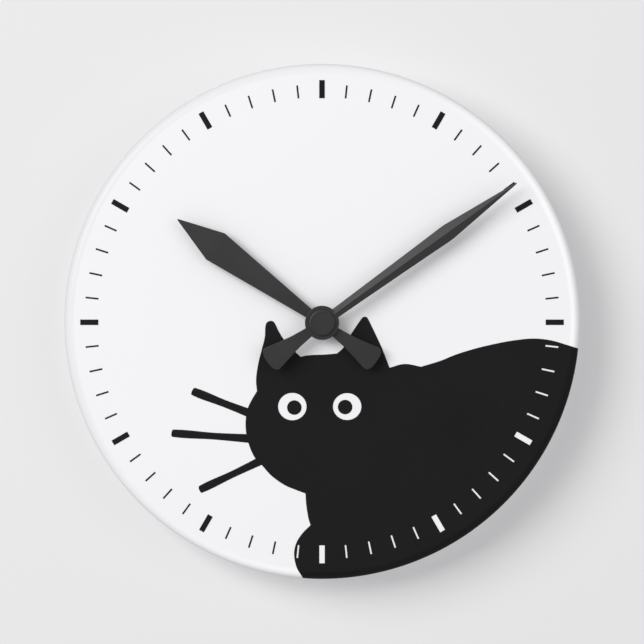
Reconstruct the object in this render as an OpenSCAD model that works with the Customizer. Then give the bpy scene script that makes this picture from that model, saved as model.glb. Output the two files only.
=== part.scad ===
// Round wall clock with a printed cat dial and a battery quartz movement.
// Local sketches have +Z out of the dial; facing() turns them so the dial faces -Y and +Z is up.
// The origin is on the hand axis at the rear face of the movement, where it rests on the wall.

/* [Dial] */
// Diameter of the dial disc, mm
dial_d = 203.2; // [180:0.2:230]
// Thickness of the dial disc, mm
dial_t = 5; // [4.5:0.1:8]
// Radius of the soft front edge, mm
edge_r = 3.5; // [1:0.1:4]
// Thickness of the printed ink layer, mm
ink_t = 0.1; // [0.05:0.01:0.2]
// Inner radius of the hour marks, mm
hour_mark_in = 88; // [80:0.1:92]
// Outer radius of the hour marks, mm
hour_mark_out = 95.1; // [93:0.1:97]
// Width of the hour marks, mm
hour_mark_w = 2.15; // [1:0.05:4]
// Inner radius of the minute marks, mm
minute_mark_in = 88.4; // [80:0.1:92]
// Outer radius of the minute marks, mm
minute_mark_out = 93.5; // [90:0.1:96]
// Width of the minute marks, mm
minute_mark_w = 0.65; // [0.3:0.05:1.5]

/* [Hands] */
// Rest angle of the minute hand, degrees clockwise from 12
minute_angle = 54.3; // [0:0.1:360]
// Rest angle of the hour hand, degrees clockwise from 12
hour_angle = 305.6; // [0:0.1:360]
// Length of the minute hand from the hand axis, mm
minute_len = 93.7; // [70:0.1:96]
// Length of the hour hand from the hand axis, mm
hour_len = 69.6; // [50:0.1:80]
// Length of both counterweight tails, mm
tail_len = 26.5; // [10:0.5:35]
// Thickness of the hands along their centre ridge, mm
ridge_t = 0.9; // [0.6:0.05:1.5]
// Radius of the hub disc on the minute hand, mm
hub_r = 6.7; // [5:0.1:10]
// Radius of the centre cap, mm
cap_r = 5; // [3:0.1:6]

/* [Movement] */
// Width and height of the movement case, mm
case_w = 56; // [56:0.5:60]
// Depth of the movement case, mm
case_d = 17.5; // [17.5:0.1:20]
// Length of an AA cell over its button, mm
cell_len = 50.5; // [49.2:0.1:50.5]
// Diameter of an AA cell, mm
cell_d = 14.5; // [13.5:0.1:14.5]

/* [Hidden] */

eps = 0.05;
fn_round = 96;
// stack of heights from the wall, along the hand axis
wall_t = 1.5;
front_wall = 1.2;
case_in = case_d - front_wall;
gasket_t = 1;
dial_back = case_d + gasket_t;
dial_front = dial_back + dial_t;
washer_t = 0.5;
nut_t = 2;
nut_z = dial_front + washer_t;
bushing_top = nut_z + nut_t + 0.6;
hour_z = bushing_top + 1;
pipe_top = hour_z + 1.4;
minute_z = pipe_top + 0.8;
arbor_top = minute_z + 2.4;
// radii on the hand axis
bushing_r = 3.9;
bushing_bore = 2.62;
pipe_r = 2.55;
pipe_bore = 1.66;
arbor_r = 1.6;
pin_r = 0.45;
pin_bore = 0.5;
dial_r = dial_d / 2;
ink_edge = 75; // how far round the soft edge the ink goes, degrees

// gear train: teeth
t_rotor = 10;
t_fifth = 50;
t_fifth_p = 10;
t_sec = 60;
t_sec_p = 8;
t_third = 60;
t_third_p = 8;
t_centre = 64;
t_cannon = 12;
t_inter = 36;
t_inter_p = 10;
t_hour = 40;
t_knob = 12;
// gear train: centre distances and bearings, mm and degrees
d_third = 10.2;
a_third = 150;
d_fifth = 9.8;
a_fifth = 20;
d_rotor = 8.4;
a_rotor = -20;
d_inter = 10.8;
a_inter = 60;
a_knob = 150;
m_centre = 2 * d_third / (t_centre + t_third_p);
m_third = 2 * d_third / (t_third + t_sec_p);
m_sec = 2 * d_fifth / (t_sec + t_fifth_p);
m_fifth = 2 * d_rotor / (t_fifth + t_rotor);
m_cannon = 2 * d_inter / (t_cannon + t_inter);
m_hour = 2 * d_inter / (t_inter_p + t_hour);
d_knob = m_cannon * (t_inter + t_knob) / 2;
function polar(r, a) = [r * cos(a), r * sin(a)];
p_third = polar(d_third, a_third);
p_fifth = polar(d_fifth, a_fifth);
p_rotor = p_fifth + polar(d_rotor, a_rotor);
p_inter = polar(d_inter, a_inter);
p_knob = p_inter + polar(d_knob, a_knob);
// heights of the wheels
z_bridge = 2.6;
bridge_t = 1.2;
z_bridge_top = z_bridge + bridge_t;
z_fifth = 4.6;
z_sec = 6.6;
z_third = 8.6;
z_centre = 10.9;
z_inter = 12.9;
z_hour = 14.6;
wheel_t = 0.8;
// battery bay
bay_wall_y = -10.3;
cell_y = -case_w / 2 + wall_t + 0.25 + cell_d / 2;
cell_z = cell_d / 2 + 1.35;
cell_x1 = case_w / 2 - wall_t - 0.35;
cell_x0 = cell_x1 - cell_len;
nub_len = 1;
nub_r = 2.6;
film_t = 0.15;
// electrics
board = [-26, 16, 20, 10];
board_z = 5;
coil_x = 21.8;
coil_y0 = 6.4;
coil_y1 = 22.6;
coil_z = 8.7;
stator_z = 7.2;
sheet_t = 1;
magnet_r = 3;
post_a = [-20.5, -7];
post_b = [22.5, -7];
post_c = [9.5, 21.5];
stator_pegs = [[13.5, 24.5], [13.5, -3]];
board_pegs = [[-23.5, 24], [-9, 20.5]];
screw_r = 0.7;
screw_tip = 7;
head_r = 1.9;
head_t = 0.8;
knob_r = 5.4;
hanger_w = 24;
hanger_z = 1.5;
hanger_t = 1;
keyhole_y = 34;
keyhole_r = 4;
keyslot_r = 1.8;

ink_c = [0.035, 0.035, 0.035];
metal_c = [0.7, 0.7, 0.68];
hand_c = [0.05, 0.05, 0.05];
case_c = [0.04, 0.04, 0.045];
wheel_c = [0.86, 0.85, 0.8];
brass_c = [0.78, 0.6, 0.25];

module facing() { rotate([90, 0, 0]) children(); }
module at(p, z) { translate([p[0], p[1], z]) children(); }
module clockwise(a) { rotate([0, 0, -a]) children(); }

// ---------- curves ----------
function unit(v) = v / max(norm(v), 1e-9);
function heading(p, i, after) = let(n = len(p), a = p[(i + n - 1) % n], b = p[i], c = p[(i + 1) % n])
    b[2] == 1 ? (after ? unit([c[0] - b[0], c[1] - b[1]]) : unit([b[0] - a[0], b[1] - a[1]]))
              : unit([c[0] - a[0], c[1] - a[1]]);
// closed smooth curve through [x, y, corner] points
function smooth(p, steps) = [for (i = [0:len(p) - 1]) let(n = len(p), a = [p[i][0], p[i][1]],
    b = [p[(i + 1) % n][0], p[(i + 1) % n][1]], l = norm(b - a),
    u = heading(p, i, true) * l, v = heading(p, (i + 1) % n, false) * l)
    for (k = [0:steps - 1]) let(t = k / steps)
        a * (2 * pow(t, 3) - 3 * pow(t, 2) + 1) + u * (pow(t, 3) - 2 * pow(t, 2) + t)
        + b * (3 * pow(t, 2) - 2 * pow(t, 3)) + v * (pow(t, 3) - pow(t, 2))];
function ellipse_pts(c, rx, ry, n) =
    [for (i = [0:n - 1]) [c[0] + rx * cos(i * 360 / n), c[1] + ry * sin(i * 360 / n)]];

// ---------- gears ----------
// pressure angle, tooth heights in modules, and backlash in mm
pa = 25;
addend = 0.85;
dedend = 1.1;
thin = 0.06;
function inv(a) = tan(a) - a * PI / 180;
function gear_half(n, m, x, r) = let(rp = m * n / 2, rb = rp * cos(pa), rr = max(r, rb))
    (PI / 2 + 2 * x * tan(pa)) / n * 180 / PI - thin / 2 / rp * 180 / PI
    + (inv(pa) - inv(acos(min(1, rb / rr)))) * 180 / PI;
function gear_radii(n, m, x) =
    let(rp = m * n / 2, rb = rp * cos(pa), rf = rp - m * (dedend - x),
        ra = rp + m * (addend + x), low = max(rb, rf))
    rb > rf + 0.02 ? [rf, rb, (low + ra) / 2, ra] : [rf, (rf + ra) / 2, ra];
function gear_pts(n, m, x, phase) = let(rs = gear_radii(n, m, x), k = len(rs))
    [for (i = [0:n - 1]) for (j = [0:2 * k - 1]) let(q = j < k ? j : 2 * k - 1 - j, s = j < k ? -1 : 1)
        polar(rs[q], phase + i * 360 / n + s * gear_half(n, m, x, rs[q]))];
module gear(n, m, x, phase, z, h) {
    translate([0, 0, z]) linear_extrude(height = h) polygon(gear_pts(n, m, x, phase));
}
// phase of wheel B (nb teeth) that meshes it with wheel A (na teeth, phase fa), B at bearing q from A
function mesh_phase(q, fa, na, nb) = q + 180 - (0.5 - (q - fa) * na / 360) * 360 / nb;
shift = 0.25; // profile shift: pinions grow, wheels shrink by it
f_third_p = mesh_phase(a_third, 0, t_centre, t_third_p);
f_sec_p = mesh_phase(a_third + 180, 0, t_third, t_sec_p);
f_fifth_p = mesh_phase(a_fifth, 0, t_sec, t_fifth_p);
f_rotor = mesh_phase(a_rotor, 0, t_fifth, t_rotor);
f_inter = mesh_phase(a_inter, 0, t_cannon, t_inter);
f_hour = mesh_phase(a_inter + 180, 0, t_inter_p, t_hour);
f_knob = mesh_phase(a_knob, f_inter, t_inter, t_knob);

module tube(ro, ri, z, h) {
    translate([0, 0, z]) difference() {
        cylinder(r = ro, h = h, $fn = fn_round);
        translate([0, 0, -1]) cylinder(r = ri, h = h + 2, $fn = fn_round);
    }
}
module rod(r, z, h) { translate([0, 0, z]) cylinder(r = r, h = h, $fn = fn_round); }
module round_rect(w, h, r) {
    square([w - 2 * r, h], center = true);
    square([w, h - 2 * r], center = true);
    for (x = [-1, 1], y = [-1, 1]) translate([x * (w / 2 - r), y * (h / 2 - r)]) circle(r = r, $fn = 48);
}
// wheel with four round holes in its web, between the hub and web_r
module spoked(n, m, x, phase, z, h, web_r, hub) {
    hole_r = (web_r - hub) / 2 - 0.5;
    difference() {
        gear(n, m, x, phase, z, h);
        for (i = [0:3]) rotate([0, 0, 45 + 90 * i]) translate([(hub + web_r) / 2, 0, z - 1])
            cylinder(r = hole_r, h = h + 2, $fn = 36);
    }
}

// ---------- dial ----------
module edge_profile(r, back, front, f) {
    // half section of a disc whose front corner is rounded with radius f
    translate([0, back]) square([r - f, front - back]);
    translate([0, back]) square([r, front - f - back]);
    translate([r - f, front - f]) intersection() {
        circle(r = f, $fn = fn_round);
        square([f, f]);
    }
}
module dial_disc() {
    color([0.93, 0.93, 0.92]) facing() difference() {
        rotate_extrude($fn = fn_round) edge_profile(dial_r, dial_back, dial_front, edge_r);
        rod(bushing_r + 0.15, dial_back - 1, dial_t + 2);
    }
}
module ink_shell() {
    reach = dial_r - edge_r + (edge_r + ink_t) * sin(ink_edge);
    difference() {
        rotate_extrude($fn = fn_round)
            edge_profile(dial_r + ink_t, dial_back, dial_front + ink_t, edge_r + ink_t);
        rotate_extrude($fn = fn_round) edge_profile(dial_r, dial_back - 1, dial_front, edge_r);
        translate([0, 0, dial_back - 1]) difference() {
            cylinder(r = dial_r + 5, h = dial_t + 3, $fn = fn_round);
            translate([0, 0, -1]) cylinder(r = reach, h = dial_t + 5, $fn = fn_round);
        }
        translate([0, 0, dial_back - 1])
            cylinder(r = dial_r + 5, h = dial_t + 1 - edge_r * (1 - cos(ink_edge)), $fn = fn_round);
    }
}
// the marks that fall on the cat are left unprinted, so they show white
first_on_cat = 16;
last_on_cat = 31;
module mark(i, a, b, w) { clockwise(6 * i) translate([-w / 2, a]) square([w, b - a]); }
module hour_mark(i) { mark(i, hour_mark_in, hour_mark_out, hour_mark_w); }
module minute_mark(i) { mark(i, minute_mark_in, minute_mark_out, minute_mark_w); }
function on_cat(i) = i >= first_on_cat && i <= last_on_cat;
module print_up(h) { translate([0, 0, dial_front]) linear_extrude(height = h) children(); }
module hour_marks() {
    color(ink_c) facing() print_up(ink_t) for (i = [0:5:55]) if (!on_cat(i)) hour_mark(i);
}
module minute_marks() {
    color(ink_c) facing() print_up(ink_t) for (i = [0:59]) if (i % 5 != 0 && !on_cat(i)) minute_mark(i);
}
// crouching cat, seen from the front: head with two ears, back running off the dial to the right;
// each point is [x, z, corner], where corner 1 keeps a sharp turn
cat = [
    [-21.9, -0.4, 0], [-21.2, 0.3, 0], [-20.2, 0.55, 0], [-19.2, 0.3, 0], [-18.5, -0.5, 0],
    [-17.1, -3.4, 0], [-15.2, -6.5, 0], [-11.5, -10.7, 0], [-8.4, -13.6, 1], [-5.5, -13, 0],
    [0.9, -12.7, 0], [5.9, -12.3, 1], [8.5, -9.9, 0], [11.4, -4.7, 0], [15.6, 1.5, 0],
    [16.2, 2.05, 0], [16.9, 2.2, 0], [17.6, 2, 0], [18.3, 1, 0], [21.2, -5, 0], [23.6, -10.2, 0],
    [26.6, -17.9, 1], [32.5, -16.4, 0], [39, -17.5, 1], [46.5, -15.2, 0], [53, -12.6, 0],
    [60.5, -10.3, 0], [68, -8.5, 0], [75, -7.2, 0], [83, -6.4, 0], [90, -7.1, 0], [97, -9.1, 0],
    [105, -11.7, 1], [105, -60, 1], [70, -105, 1], [-6.2, -105, 1], [-7.6, -101, 0],
    [-10, -96.7, 0], [-11, -91.4, 0], [-10.1, -87, 0], [-7.6, -83.1, 0], [-4.5, -80, 1],
    [-5.3, -77.5, 0], [-6.2, -72, 0], [-6.5, -67.5, 1], [-10, -66.2, 0], [-14.7, -64.2, 0],
    [-19.9, -60.5, 0], [-23.7, -56.3, 0], [-26.7, -53, 0], [-29.2, -46.8, 0], [-30.1, -40.8, 0],
    [-29.5, -34.8, 0], [-27.9, -31, 0], [-25.6, -27.1, 1], [-25.95, -22.6, 0], [-25.1, -16.3, 0],
    [-23.6, -10.3, 0], [-22.5, -5.8, 0], [-22.3, -2, 0]
];
// whiskers: outer end, root on the head, width at each
whiskers = [
    [[-50.7, -27.2], [-26, -36.8], 3.1, 3.5],
    [[-58.8, -43.7], [-26, -46], 2.9, 3.6],
    [[-47.9, -65.9], [-22.5, -53.8], 2.9, 3.4]
];
// eyes: centre, half width, half height, pupil centre
eyes = [
    [[-11.7, -33.2], 5.6, 5.4, [-10.9, -33.6]],
    [[9.9, -33.2], 5.6, 5.3, [9.1, -33.4]]
];
pupil_r = 2.85;
curve_steps = 5;
fn_eye = 48;
module whisker(w) {
    d = w[1] - w[0];
    translate(w[0]) rotate([0, 0, atan2(d[1], d[0])])
        polygon(smooth([
            [0, -w[2] / 2, 0], [norm(d) / 2, -w[2] * 0.47, 0], [norm(d), -w[3] / 2, 1],
            [norm(d), w[3] / 2, 1],
            [norm(d) / 2, w[2] * 0.45, 0], [0.2, w[2] / 2, 0], [-0.5, 0, 0]
        ], curve_steps));
}
module cat_print() {
    color(ink_c) facing() intersection() {
        translate([0, 0, dial_back]) linear_extrude(height = dial_t + 1) difference() {
            union() {
                polygon(smooth(cat, curve_steps));
                for (w = whiskers) whisker(w);
            }
            for (e = eyes) difference() {
                polygon(ellipse_pts(e[0], e[1], e[2], fn_eye));
                translate(e[3]) circle(r = pupil_r, $fn = fn_eye);
            }
            for (i = [first_on_cat:last_on_cat])
                if (i % 5 == 0) hour_mark(i);
                else minute_mark(i);
        }
        ink_shell();
    }
}

// ---------- hands ----------
module roof(len, low, w) {
    // shallow two-sided ridge along the hand
    rotate([-90, 0, 0]) linear_extrude(height = len)
        polygon([[-w, 0], [w, 0], [w, -low], [0, -ridge_t], [-w, -low]]);
}
function tail_side(s) = [
    [s * 2, -hub_r], [s * 2.7, -13], [s * 3.65, -18], [s * 4.7, -23], [s * 5.1, -24.6],
    [s * 4.6, -tail_len + 0.75], [s * 2.2, -tail_len + 0.15]
];
module hand(blade, z, bore, hub) {
    rev = [for (i = [len(blade) - 1:-1:0]) [-blade[i][0], blade[i][1]]];
    tr = tail_side(1);
    tl = tail_side(-1);
    difference() {
        union() {
            intersection() {
                translate([0, 0, z - 1]) linear_extrude(height = 4)
                    polygon(concat([[2, 0]], blade, rev, [[-2, 0]]));
                translate([0, 0, z]) roof(minute_len + 1, 0.3, 8);
            }
            translate([0, 0, z]) linear_extrude(height = 0.55)
                polygon(concat([[-2, 0], [2, 0]], tr, [for (i = [len(tl) - 1:-1:0]) tl[i]]));
            rod(hub, z, 0.7);
        }
        rod(bore, z - 2, 6);
    }
}
module hour_hand() {
    color(hand_c) facing() clockwise(hour_angle) {
        hand([[2, hub_r], [6.3, 51.3], [0.35, hour_len - 0.6], [0.1, hour_len]],
            hour_z, pipe_r, hub_r - 0.9);
        tube(3.6, pipe_r, hour_z - 0.7, 0.8);
    }
}
module minute_hand() {
    color(hand_c) facing() clockwise(minute_angle) {
        hand([[2, hub_r], [3.15, 56], [3.3, 59.6], [3.2, 61.5], [2.9, 64], [0.3, minute_len - 0.4],
            [0.12, minute_len]], minute_z, arbor_r, hub_r);
        tube(2.6, arbor_r, minute_z - 0.4, 0.5);
    }
}
module centre_cap() {
    color(hand_c) facing() difference() {
        union() {
            rod(cap_r, minute_z + 0.9, 1.3);
            translate([0, 0, minute_z + 2.2])
                cylinder(r1 = cap_r, r2 = cap_r - 0.6, h = 0.5, $fn = fn_round);
        }
        rod(arbor_r, minute_z, 2.5);
        tube(cap_r + 2, cap_r + 1, minute_z, 1);
    }
}

// ---------- movement case ----------
module case_outline(inset) { round_rect(case_w - 2 * inset, case_w - 2 * inset, 3 - inset * 0.8); }
module front_case() {
    color(case_c) facing() difference() {
        union() {
            difference() {
                translate([0, 0, wall_t]) linear_extrude(height = case_d - wall_t) case_outline(0);
                translate([0, 0, wall_t - 1])
                    linear_extrude(height = case_in - wall_t + 1) case_outline(wall_t);
            }
            translate([-26, bay_wall_y - 1, wall_t]) cube([52, 1, case_in - wall_t + eps]);
            rod(bushing_r, case_d - eps, bushing_top - case_d + eps);
            for (p = [post_a, post_b, post_c]) at(p, 0) rod(1.8, z_bridge_top, case_in - z_bridge_top + eps);
            at(post_c, 0) rod(0.8, z_bridge - 0.3, 2);
            for (p = stator_pegs) at(p, 0) {
                rod(1.2, stator_z + sheet_t, case_in - stator_z - sheet_t + eps);
                rod(0.5, stator_z - 0.3, 2);
            }
            for (p = board_pegs) at(p, 0) {
                rod(1.4, board_z + sheet_t, case_in - board_z - sheet_t + eps);
                rod(0.6, board_z - 0.3, 2);
            }
            at(p_inter, 0) rod(0.8, z_inter - 0.4, case_in - z_inter + 0.4 + eps);
            at(p_rotor, 0) rod(1.5, 9.8, case_in - 9.8 + eps);
            at(p_knob, 0) rod(1.6, 14.4, case_in - 14.4 + eps);
        }
        rod(bushing_bore, case_in - 1, 20);
        at(p_rotor, 0) rod(pin_bore, 9, 2);
        at(p_knob, 0) rod(0.65, 14, 1.6);
        for (p = [post_a, post_b]) at(p, 0) rod(screw_r, z_bridge, screw_tip - z_bridge + 0.3);
        translate([-hanger_w / 2 - 0.1, 26, wall_t - 1]) cube([hanger_w + 0.2, 3, 2.05]);
    }
}
vent_count = 5;
vent_x = 9;
vent_pitch = 2.6;
module rear_cover() {
    color(case_c) facing() difference() {
        union() {
            linear_extrude(height = wall_t) case_outline(0);
            for (x = [-9, 9]) at([x, 25], 0) rod(1, wall_t - eps, 1 + eps);
        }
        translate([cell_x0 - 1.6, -26.4, -1]) cube([cell_len + 1.8, 14.9, 4]);
        at(p_knob, 0) rod(knob_r + 0.4, -1, 4);
        for (p = [post_a, post_b]) at(p, 0) {
            rod(head_r + 0.15, -1, 1 + head_t + 0.15);
            rod(screw_r + 0.1, -1, 4);
        }
        for (i = [0:vent_count - 1]) translate([vent_x + vent_pitch * i, 4, -1]) cube([1.2, 12, 4]);
    }
}
module hanger_plate() {
    color(metal_c) facing() translate([0, 0, hanger_z]) difference() {
        linear_extrude(height = hanger_t) union() {
            translate([0, 28.4]) round_rect(hanger_w, 10.4, 2);
            translate([0, 35]) round_rect(18, 14, 4);
        }
        at([0, keyhole_y], 0) rod(keyhole_r, -1, 4);
        translate([-keyslot_r, keyhole_y, -1]) cube([2 * keyslot_r, 4, 4]);
        at([0, keyhole_y + 4], 0) rod(keyslot_r, -1, 4);
        for (x = [-9, 9]) at([x, 25], 0) rod(1, -1, 4);
    }
}
module bushing_nut() {
    color(brass_c) facing() difference() {
        intersection() {
            translate([0, 0, nut_z]) cylinder(r = 6.2, h = nut_t, $fn = 6);
            translate([0, 0, nut_z]) cylinder(r1 = 7.2, r2 = 5.7, h = nut_t, $fn = fn_round);
        }
        rod(bushing_r, nut_z - 1, 5);
    }
}
module nut_washer() { color(brass_c) facing() tube(6.3, bushing_r + 0.1, dial_front, washer_t); }
module dial_gasket() { color([0.03, 0.03, 0.03]) facing() tube(14, bushing_r + 0.2, case_d, gasket_t); }

// ---------- battery and contacts ----------
module along_cell() { translate([cell_x0, cell_y, cell_z]) rotate([0, 90, 0]) children(); }
module battery_can() {
    color(metal_c) facing() along_cell() {
        rod(cell_d / 2 - film_t, 0, cell_len - nub_len);
        rod(nub_r, cell_len - nub_len - eps, nub_len + eps);
    }
}
module battery_sleeve() {
    color([0.12, 0.3, 0.22]) facing() along_cell()
        tube(cell_d / 2, cell_d / 2 - film_t, 0.4, cell_len - nub_len - 0.8);
}
// contact strips: thickness, width, and where the positive one ends on the board
strip_t = 0.3;
strip_w = 1.6;
board_end = board[0] + board[2] - 1.5;
inner = case_w / 2 - wall_t - 0.05;
bend_r = 1.8;
module positive_contact() {
    color(metal_c) facing() {
        translate([inner - strip_t, cell_y - 4.5, 4.8]) cube([strip_t, 9, 7.6]);
        translate([inner - strip_t, cell_y, 5]) cube([strip_t, inner - cell_y - bend_r, strip_w]);
        translate([board_end, inner - strip_t, 5]) cube([inner - bend_r - board_end, strip_t, strip_w]);
        translate([inner - bend_r, inner - bend_r, 5]) intersection() {
            tube(bend_r, bend_r - strip_t, 0, strip_w);
            cube([2, 2, 2]);
        }
    }
}
module negative_contact() {
    leaf = [[0, 0], [strip_t, 0], [strip_t, 7], [1.7, 3.6], [1.75, 3.9], [strip_t, 8.6], [0, 8.6]];
    color(metal_c) facing() {
        translate([-inner, cell_y - 4.3, 4.8]) linear_extrude(height = 7.6) polygon(leaf);
        translate([-inner, cell_y, 5]) cube([strip_t, 38, strip_w]);
    }
}

// ---------- electronics ----------
module circuit_board() {
    color([0.02, 0.2, 0.08]) facing() difference() {
        translate([board[0], board[1], board_z]) cube([board[2], board[3], sheet_t]);
        for (p = board_pegs) at(p, 0) rod(0.6, board_z - 1, 3);
    }
}
module driver_chip() {
    color([0.02, 0.02, 0.02]) facing() at([-15.5, 19.6], 0) intersection() {
        translate([0, 0, board_z + 3.2]) sphere(r = 4.4, $fn = fn_round);
        rod(6, board_z - 3, 3);
    }
}
module quartz_crystal() {
    color(metal_c) facing() translate([-20.5, 24.2, board_z - 1.05]) rotate([0, 90, 0]) {
        rod(1, 0, 6);
        rod(0.7, -0.6, 0.6 + eps);
    }
}
module along_coil() { translate([coil_x, coil_y0, coil_z]) rotate([-90, 0, 0]) children(); }
coil_len = coil_y1 - coil_y0;
module coil_bobbin() {
    color([0.85, 0.83, 0.75]) facing() along_coil() difference() {
        union() {
            rod(2, 0, coil_len);
            for (z = [0, coil_len - 0.8]) rod(3.9, z, 0.8);
        }
        translate([-1.25, -0.55, -1]) cube([2.5, 1.1, coil_len + 2]);
    }
}
module coil_winding() { color([0.6, 0.25, 0.1]) facing() along_coil() tube(3.5, 2, 0.8, coil_len - 1.6); }
module coil_core() {
    color(metal_c) facing() translate([coil_x - 1.2, 2, stator_z + sheet_t]) cube([2.4, 23.8, sheet_t]);
}
module stator_plate() {
    color(metal_c) facing() difference() {
        translate([0, 0, stator_z]) linear_extrude(height = sheet_t) union() {
            translate([12.1, -4.5]) square([11.1, 10]);
            translate([12.1, -4.5]) square([2.8, 30.3]);
            translate([12.1, 23.2]) square([11.1, 2.6]);
        }
        at(p_rotor, 0) rod(magnet_r + 0.5, stator_z - 1, 3);
        for (s = [-1, 1]) at(p_rotor, stator_z - 1) rotate([0, 0, 90 * s])
            translate([magnet_r, -0.2, 0]) cube([1.6, 0.4, 3]);
        for (p = stator_pegs) at(p, 0) rod(0.5, stator_z - 1, 3);
    }
}

// ---------- gear train ----------
module rotor_magnet() { color([0.2, 0.2, 0.22]) facing() at(p_rotor, 0) tube(magnet_r, 0.9, 6.2, 3); }
module rotor_pinion() {
    color(wheel_c) facing() at(p_rotor, 0) {
        rod(0.9, 5.6 - eps, 3.6 + eps);
        gear(t_rotor, m_fifth, shift, f_rotor, 4.3, 1.3);
        rod(pin_r, 2.7, 1.6 + eps);
        rod(pin_r, 9.2 - eps, 1.4);
    }
}
module fifth_wheel() {
    color(wheel_c) facing() at(p_fifth, 0) difference() {
        union() {
            spoked(t_fifth, m_fifth, -shift, 0, z_fifth, wheel_t, 6, 2);
            gear(t_fifth_p, m_sec, shift, f_fifth_p, z_fifth + wheel_t - eps, 2.3);
        }
        rod(pin_bore, z_fifth - 1, 6);
    }
}
module seconds_wheel() {
    color(wheel_c) facing() {
        spoked(t_sec, m_sec, -shift, 0, z_sec, wheel_t, 7.2, 2.2);
        rod(0.9, 4.1, 4.3 + eps);
        gear(t_sec_p, m_third, shift, f_sec_p, 8.4, 1.2);
        rod(pin_r, 2.8, 1.3 + eps);
        rod(pin_r, 9.6 - eps, 3);
    }
}
module third_wheel() {
    color(wheel_c) facing() at(p_third, 0) difference() {
        union() {
            spoked(t_third, m_third, -shift, 0, z_third, wheel_t, 7.8, 2);
            gear(t_third_p, m_centre, shift, f_third_p, z_third + wheel_t - eps, 2.5);
        }
        rod(pin_bore, z_third - 1, 6);
    }
}
module centre_wheel() {
    color(wheel_c) facing() difference() {
        union() {
            spoked(t_centre, m_centre, -shift, 0, z_centre, wheel_t, 7.8, 2.6);
            rod(2.2, 10.4, 1.8);
            gear(t_cannon, m_cannon, shift, 0, 12.6, 1.5);
            rod(arbor_r, 10.4, arbor_top - 10.4);
        }
        rod(pin_bore, 9, 4);
    }
}
module intermediate_wheel() {
    color(wheel_c) facing() at(p_inter, 0) difference() {
        union() {
            spoked(t_inter, m_cannon, -shift, f_inter, z_inter, 1, 7, 2.6);
            gear(t_inter_p, m_hour, shift, 0, z_inter + 1 - eps, 1.7);
        }
        rod(0.86, z_inter - 1, 6);
    }
}
module hour_wheel() {
    color(wheel_c) facing() difference() {
        union() {
            spoked(t_hour, m_hour, -shift, f_hour, z_hour, 1, 7.6, 3.2);
            rod(pipe_r, z_hour, pipe_top - z_hour);
        }
        rod(pipe_bore, z_hour - 1, 20);
    }
}
// ridged knob, sunk in a round well in the cover
module setting_knob() {
    color([0.75, 0.2, 0.1]) facing() at(p_knob, 0) {
        difference() {
            translate([0, 0, 0.3]) linear_extrude(height = 1.6)
                polygon([for (i = [0:95]) polar(i % 4 < 2 ? knob_r : knob_r - 0.3, i * 3.75)]);
            tube(4.2, 3, -0.1, 0.9);
        }
        rod(1, 1.9 - eps, 10.8);
        gear(t_knob, m_cannon, shift, f_knob, 12.6, 1.5);
        rod(0.6, 14.1 - eps, 1.2);
    }
}
bridge_outline = [
    [-21.5, -9.5], [23.5, -9.5], [25.5, -7.5], [25.5, -4.5], [19.5, 5], [12.5, 23], [11, 24.5],
    [8, 24.5], [6.6, 23], [3, 10], [-8, 9], [-12, 7.5], [-23.5, -4.5], [-23.5, -7.5]
];
module train_bridge() {
    color(case_c) facing() difference() {
        translate([0, 0, z_bridge]) linear_extrude(height = bridge_t) polygon(bridge_outline);
        for (p = [post_a, post_b, post_c]) at(p, 0) rod(0.8, z_bridge - 1, 4);
        for (p = [[0, 0], p_rotor]) at(p, 0) rod(pin_bore, z_bridge - 1, 4);
        for (p = [p_third, p_fifth]) at(p, 0) rod(pin_r, z_bridge - 1, 4);
    }
}
module train_pin() {
    color(metal_c) facing() {
        at(p_third, 0) {
            rod(pin_r, z_bridge + 0.1, 9.7);
            rod(0.9, z_bridge_top, z_third - 0.3 - z_bridge_top);
        }
        at(p_fifth, 0) {
            rod(pin_r, z_bridge + 0.1, 5.7);
            rod(0.9, z_bridge_top, z_fifth - 0.3 - z_bridge_top);
        }
    }
}
module cover_screw() {
    color(metal_c) facing() for (p = [post_a, post_b]) at(p, 0) difference() {
        union() {
            rod(head_r, 0.15, head_t);
            rod(screw_r, 0.15, screw_tip - 0.15);
        }
        for (q = [0, 90]) rotate([0, 0, q + 20]) translate([-1.2, -0.2, -1]) cube([2.4, 0.4, 1.5]);
    }
}

dial_disc();
cat_print();
hour_marks();
minute_marks();
hour_hand();
minute_hand();
centre_cap();
front_case();
rear_cover();
hanger_plate();
bushing_nut();
nut_washer();
dial_gasket();
battery_can();
battery_sleeve();
positive_contact();
negative_contact();
circuit_board();
driver_chip();
quartz_crystal();
coil_bobbin();
coil_winding();
coil_core();
stator_plate();
rotor_magnet();
rotor_pinion();
fifth_wheel();
seconds_wheel();
third_wheel();
centre_wheel();
intermediate_wheel();
hour_wheel();
setting_knob();
train_bridge();
train_pin();
cover_screw();
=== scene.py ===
# Round wall clock with a printed cat: looks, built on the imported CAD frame.
import math

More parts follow.
